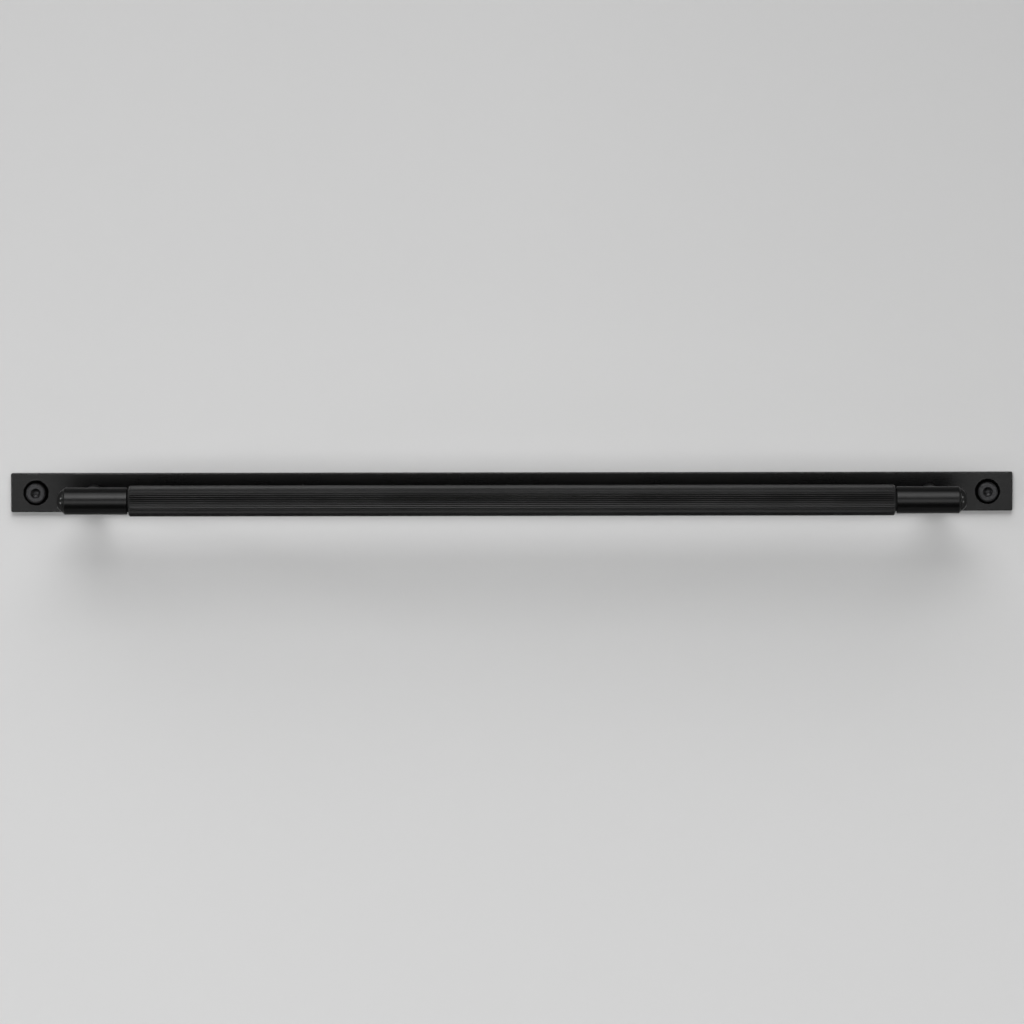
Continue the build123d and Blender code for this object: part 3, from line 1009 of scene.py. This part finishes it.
def build_fixing_screw(name, side):
    """A socket cap screw whose head sits in a conical recess."""
    height = FIXING_HEAD_HEIGHT
    head = softened([
        (height, 0.0),
        (height, FIXING_HEAD_RADIUS - FIXING_HEAD_CHAMFER, FIXING_HEAD_SOFTNESS),
        (height - FIXING_HEAD_CHAMFER, FIXING_HEAD_RADIUS, FIXING_HEAD_SOFTNESS),
        (0.0, FIXING_HEAD_RADIUS, 0.1 * MM),
        (0.0, FIXING_SHANK_RADIUS),
        (-FIXING_SHANK_LENGTH, FIXING_SHANK_RADIUS),
    ])
    sizes = (FIXING_SOCKET_FLATS, FIXING_SOCKET_DEPTH, height)
    screw = cut_screw(
        f"{name}_fixing_screw_body", head, FIXING_REACH, FIXING_THREAD_RADIUS,
        FIXING_SHANK_LENGTH + FIXING_NECK, M4_PITCH, sizes, fixing_screw_finish,
    )
    face = fixing_low.y + height
    return set_down(screw, (side * FIXING_X, face, 0.0), (0, -1, 0), (1, 0, 0))


def build_end_screw(name, side):
    """The screw with a low domed head that closes a sleeve."""
    down = END_HEAD_RIM - END_HEAD_HEIGHT
    out = END_HEAD_RADIUS - END_HEAD_FLAT_RADIUS
    slant = hypot(down, out)
    dome = []
    for step in range(END_HEAD_STEPS + 1):
        share = step / END_HEAD_STEPS
        bulge = 4 * END_HEAD_BULGE * share * (1 - share)
        softness = END_HEAD_SOFTNESS if step in (0, END_HEAD_STEPS) else 0.0
        height = END_HEAD_HEIGHT + down * share + bulge * out / slant
        dome.append((height, END_HEAD_FLAT_RADIUS + out * share - bulge * down / slant, softness))
    head = softened([
        (END_HEAD_HEIGHT, 0.0),
        *dome,
        (0.0, END_HEAD_RADIUS, 0.05 * MM),
        (0.0, END_THREAD_RADIUS - END_UNDERCUT),
        (-END_UNDERCUT_LENGTH, END_THREAD_RADIUS - END_UNDERCUT),
    ], steps=8)
    sizes = (END_SOCKET_FLATS, END_SOCKET_DEPTH, END_HEAD_HEIGHT)
    screw = cut_screw(
        f"{name}_end_screw_body", head, END_SCREW_REACH, END_THREAD_RADIUS,
        END_THREAD_START, M5_PITCH, sizes, end_screw_finish,
    )
    face = sleeve_high.x
    return set_down(screw, (side * face, BAR_Y, 0.0), (side, 0, 0), (0, -1, 0))


def build_post_screw(name, side):
    """A countersunk screw from the back of the plate into the foot of a post."""
    head = softened([
        (0.0, 0.0),
        (0.0, POST_SCREW_HEAD_RADIUS - POST_SCREW_RIM),
        (-POST_SCREW_RIM, POST_SCREW_HEAD_RADIUS - POST_SCREW_RIM),
        (-POST_SCREW_CONE, POST_SCREW_THREAD_RADIUS - 0.05 * MM),
        (-POST_SCREW_CONE - POST_SCREW_UNDERCUT, POST_SCREW_THREAD_RADIUS - POST_SCREW_UNDERCUT),
    ])
    sizes = (POST_SCREW_SOCKET_FLATS, POST_SCREW_SOCKET_DEPTH, 0.0)
    screw = cut_screw(
        f"{name}_post_screw_body", head, POST_SCREW_LENGTH, POST_SCREW_THREAD_RADIUS,
        POST_SCREW_CONE + POST_SCREW_NECK, M3_PITCH, sizes, post_screw_finish,
    )
    return set_down(screw, (side * POST_X, post_screw_high.y, 0.0), (0, 1, 0), (-1, 0, 0))


def take_place(piece, node):
    """The piece stands for a CAD node: it hangs from the root body, and the node is hidden."""
    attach(piece, "root")
    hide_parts(node)


take_place(build_backplate(), "backplate")
take_place(build_grip(), "grip")
for name, side in SIDES.items():
    take_place(build_sleeve(name, side), f"{name}_sleeve")
    take_place(build_post(name, side), f"{name}_post")
    take_place(build_end_screw(name, side), f"{name}_end_screw")
    take_place(build_post_screw(name, side), f"{name}_post_screw")
    take_place(build_fixing_screw(name, side), f"{name}_fixing_screw")


# Stage


BACKDROP_HALF_WIDTH = 0.42
BACKDROP_HALF_HEIGHT = 0.23
BACKDROP_Y = 0.2 * MM
WINDOW_INSET = 0.5 * MM  # opening behind the plate, hidden by it
BACKDROP_SHADE = 0.578
# Painted shade: the next two shares darken the backdrop's paint to the right and upwards, in place of the
# light's fall-off
PAINTED_SHADE_ACROSS = 0.25  # share of the shade that is lost in each metre to the right of the middle
PAINTED_SHADE_UPWARDS = 0.82  # share of the shade that is lost in each metre upwards
SHADE_MOTTLE = 0.012
SHADE_MOTTLE_SIZE = 14 * MM
LEVEL_BELOW = -0.12  # height under which the shade is the same from left to right
FLOOR_SHADE = 0.70
FLOOR_MOTTLE = 0.01
FLOOR_MOTTLE_SIZE = 30 * MM
FLOOR_Z = -1.7
FLOOR_REACH = 0.9


def build_backdrop_finish(sheet):
    """Pale paint, with painted shade that makes it a little darker at the top and at the upper right,
    standing in for the light's fall-off across it. Seen from behind it is clear, so that the plate's back
    shows."""
    place = object_place(sheet)
    x, y, z = sheet.split(place)
    mottle = speckle(sheet, place, SHADE_MOTTLE_SIZE, 4.0, 0.6) - 0.5
    # painted shade: darker to the upper right and towards the top, standing in for how the light falls off
    across = x.most(0.0) * z.rise(LEVEL_BELOW, 0.0) * PAINTED_SHADE_ACROSS
    shade = BACKDROP_SHADE * (1 - across - z * PAINTED_SHADE_UPWARDS + mottle * SHADE_MOTTLE)
    paint = sheet.add("ShaderNodeBsdfDiffuse", {}, {"Color": shade})
    clear = sheet.add("ShaderNodeBsdfTransparent")
    behind = sheet.add("ShaderNodeNewGeometry", {}, {}, out="Backfacing")
    return sheet.add("ShaderNodeMixShader", {}, {0: behind, 1: paint, 2: clear})


def build_floor_finish(sheet):
    """Plain pale floor."""
    mottle = speckle(sheet, object_place(sheet), FLOOR_MOTTLE_SIZE, 3.0)
    shade = sheet.shades(mottle, FLOOR_SHADE - FLOOR_MOTTLE, FLOOR_SHADE + FLOOR_MOTTLE)
    return sheet.add("ShaderNodeBsdfDiffuse", {}, {"Color": shade})


def flat_piece(name, corners, faces, material):
    """A stage piece from its corners and faces."""
    mesh = bpy.data.meshes.new(name)
    mesh.from_pydata(corners, [], faces)
    mesh.materials.append(material)
    obj = linked(name, mesh)
    return obj


window_x = plate_high.x - WINDOW_INSET
window_z = plate_high.z - WINDOW_INSET
CORNERS = ((-1, -1), (1, -1), (1, 1), (-1, 1))
rim = [(side_x * BACKDROP_HALF_WIDTH, side_z * BACKDROP_HALF_HEIGHT) for side_x, side_z in CORNERS]
window = [(side_x * window_x, side_z * window_z) for side_x, side_z in CORNERS]
flat_piece(
    "backdrop",
    [(x, BACKDROP_Y, z) for x, z in rim + window],
    [(i, (i + 1) % 4, (i + 1) % 4 + 4, i + 4) for i in range(4)],
    finish_of("backdrop_paint_and_painted_shade", build_backdrop_finish),
)
flat_piece(
    "floor",
    [(-FLOOR_REACH, -FLOOR_REACH, FLOOR_Z), (FLOOR_REACH, -FLOOR_REACH, FLOOR_Z),
     (FLOOR_REACH, BACKDROP_Y, FLOOR_Z), (-FLOOR_REACH, BACKDROP_Y, FLOOR_Z)],
    [(0, 1, 2, 3)],
    finish_of("floor_paint", build_floor_finish),
)


# Light


def soft_light(name, place, aim, width, height, strength):
    """A rectangular soft light that faces a point. strength is the radiance of its surface."""
    data = bpy.data.lights.new(name, "AREA")
    data.shape = "RECTANGLE"
    data.size = width
    data.size_y = height
    data.energy = strength * pi * width * height
    obj = bpy.data.objects.new(name, data)
    scene.collection.objects.link(obj)
    direction = Vector(aim) - Vector(place)
    obj.location = place
    obj.rotation_euler = direction.to_track_quat("-Z", "Y").to_euler()
    obj.visible_camera = False


def build_room():
    """The room round the object: pale behind it and wherever the camera looks past it, dark in front,
    and pale at the sides in what metal shows of it."""
    world = bpy.data.worlds.new("room")
    scene.world = world
    world.use_nodes = True
    world.node_tree.nodes.clear()
    sheet = Sheet(world.node_tree)
    x, y, z = sheet.split(sheet.add("ShaderNodeTexCoord", {}, {}, out="Generated"))
    seen = sheet.add("ShaderNodeLightPath", {}, {}, out="Is Camera Ray")
    mirrored = sheet.add("ShaderNodeLightPath", {}, {}, out="Is Glossy Ray")
    passed = sheet.add("ShaderNodeLightPath", {}, {}, out="Is Transmission Ray")
    sides = abs(x).rise(SIDES_START, SIDES_FULL, ROOM_MIRRORED, 1.0)
    pale = y.rise(0.0, REAR_FULL).most(seen).most(passed).most(mirrored * sides)
    shade = sheet.shades(pale, ROOM_DIM, ROOM_PALE)
    light = sheet.add("ShaderNodeBackground", {}, {"Color": shade, "Strength": 1.0})
    sheet.add("ShaderNodeOutputWorld", {}, {"Surface": light})


def studio_light(name, rise, left, distance, width, height, strength):
    """A soft light at a distance from the origin, that many degrees up and to the left, aimed at it."""
    up = radians(rise)
    aside = radians(left)
    place = Vector((-sin(aside), -cos(aside) * cos(up), cos(aside) * sin(up))) * distance
    soft_light(name, place, MIDDLE, width, height, strength)


ROOM_DIM = 0.0
ROOM_PALE = 0.62
ROOM_MIRRORED = 0.05  # share of the pale room that metal shows straight in front, where it is dark
SIDES_START, SIDES_FULL = 0.3, 0.7  # parts of a direction along X between which the sides turn pale
REAR_FULL = 0.3  # part of a direction along Y at which the rear is fully pale

STUDIO_LIGHTS = (
    # name, degrees up, degrees to the left, distance, width, height, strength
    ("key", 40.5, 9.0, 1.8, 0.62, 0.72, 8.0),
    ("key_side", 40.5, -7.5, 1.8, 0.50, 0.72, 4.4),
    ("overhead", 64.0, 7.0, 2.4, 3.4, 1.0, 3.6),
    ("front", -4.5, 13.0, 1.8, 2.2, 0.66, 3.25),
    ("fill", 9.9, -26.8, 1.8, 1.2, 0.26, 2.6),
)
END_LIGHTS = (
    # side, name, height, strength
    ("left", "upper", 0.38, 26.0),
    ("left", "lower", -0.22, 15.0),
    ("right", "upper", 0.38, 13.0),
    ("right", "lower", -0.22, 12.0),
)
END_LIGHT_X = 1.2
END_LIGHT_Y = -0.28
END_LIGHT_AIM_X = 0.16  # about the place of the end screws
END_LIGHT_SIZE = 0.14
REAR_LIGHT_PLACE = (0.6, 1.6, 0.9)
REAR_LIGHT_WIDTH = 1.4
REAR_LIGHT_HEIGHT = 0.9
REAR_LIGHT_STRENGTH = 2.0

MIDDLE = (0.0, 0.0, 0.0)

build_room()
for row in STUDIO_LIGHTS:
    studio_light(*row)
for side_name, level, height, strength in END_LIGHTS:
    side = SIDES[side_name]
    place = (side * END_LIGHT_X, END_LIGHT_Y, height)
    aim = (side * END_LIGHT_AIM_X, 0.0, 0.0)
    soft_light(f"{side_name}_{level}", place, aim, END_LIGHT_SIZE, END_LIGHT_SIZE, strength)
soft_light("rear", REAR_LIGHT_PLACE, MIDDLE, REAR_LIGHT_WIDTH, REAR_LIGHT_HEIGHT, REAR_LIGHT_STRENGTH)


# Camera


CAMERA_DISTANCE = 2.6
CAMERA_RISE = 5.7  # degrees above the horizon
CAMERA_ROLL = -0.09
CAMERA_AIM = (0.07 * MM, -PLATE_THICKNESS, -7.2 * MM)
CAMERA_LENS = 254.2  # mm
CAMERA_SENSOR = 36.0  # mm
CAMERA_NEAR = 0.05
CAMERA_FAR = 50.0

camera_data = bpy.data.cameras.new("camera")
camera_data.lens = CAMERA_LENS
camera_data.sensor_width = CAMERA_SENSOR
camera_data.clip_start = CAMERA_NEAR
camera_data.clip_end = CAMERA_FAR
camera = bpy.data.objects.new("camera", camera_data)
scene.collection.objects.link(camera)
scene.camera = camera
away = Vector((0.0, -cos(radians(CAMERA_RISE)), sin(radians(CAMERA_RISE))))
camera.location = Vector(CAMERA_AIM) + away * CAMERA_DISTANCE
roll = Matrix.Rotation(radians(CAMERA_ROLL), 4, "Z")
camera.rotation_euler = ((-away).to_track_quat("-Z", "Y").to_matrix().to_4x4() @ roll).to_euler()
